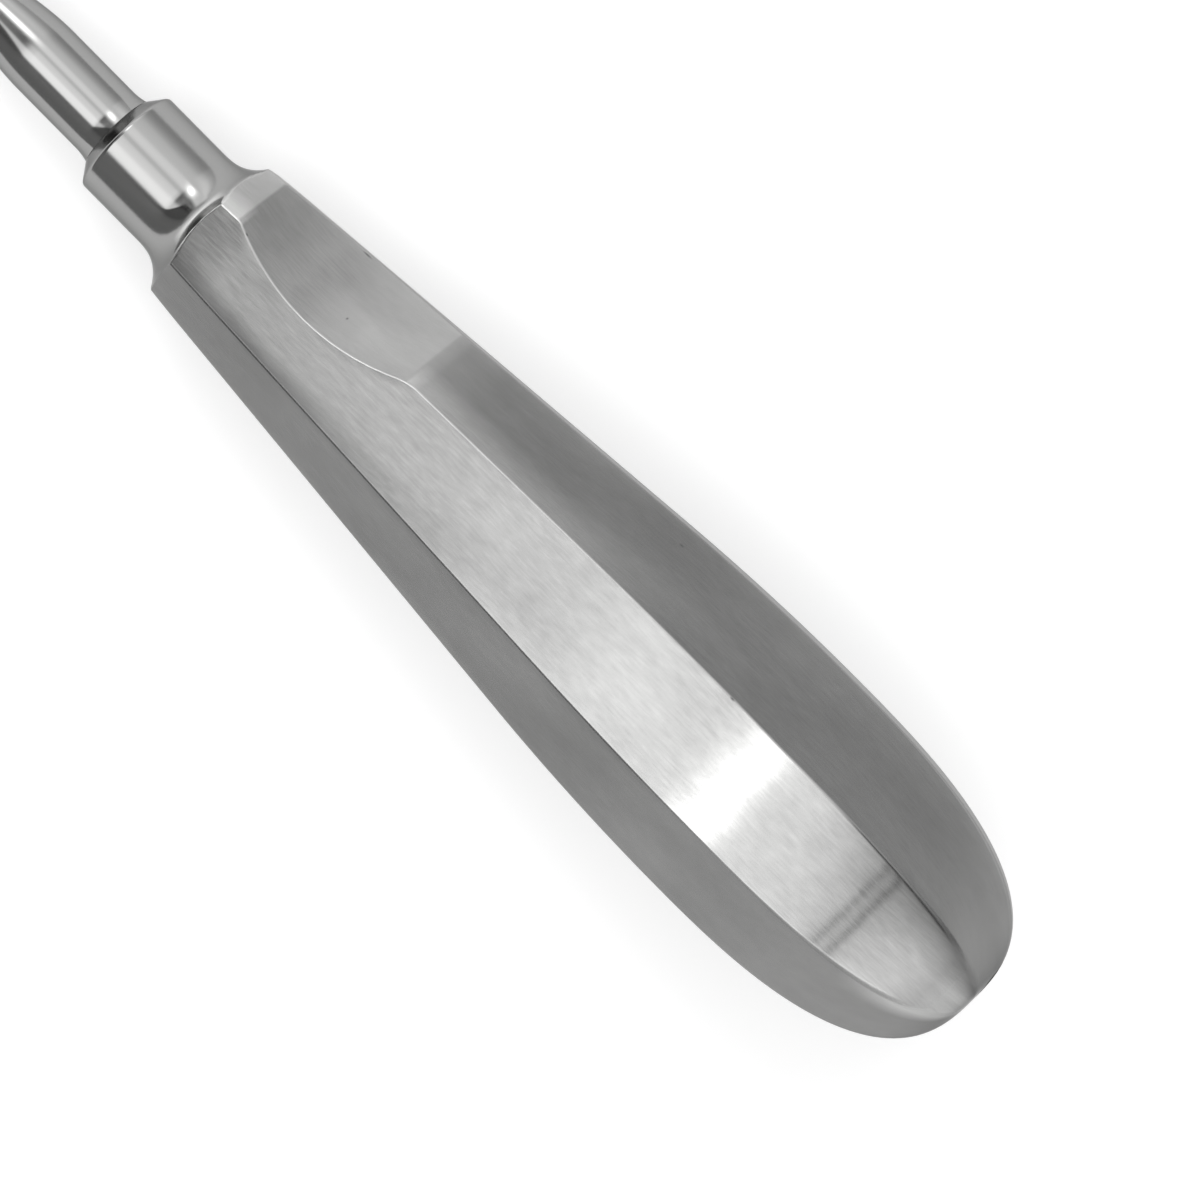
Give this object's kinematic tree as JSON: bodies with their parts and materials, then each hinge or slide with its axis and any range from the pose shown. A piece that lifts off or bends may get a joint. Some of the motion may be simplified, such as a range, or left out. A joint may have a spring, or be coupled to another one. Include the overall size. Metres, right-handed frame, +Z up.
{
  "type": "root elevator",
  "caption": "Steel root elevator with a faceted pear-shaped handle, thumb rest, turned collar and shank, and a slim gouge end for loosening tooth roots.",
  "frame": {"origin": "under the middle of the instrument's box, on the surface that it lies on", "axes": "+X along the instrument towards the working end, +Y across it, +Z up; the handle lies on its bottom facet"},
  "size_m": [0.1508, 0.023, 0.024],
  "materials": {
    "stainless_steel": "satin ground handle with fine lengthwise lines, mirror polished collar, shank and working end"
  },
  "bodies": {
    "root": {"root_elevator": "stainless_steel"}
  },
  "joints": []
}
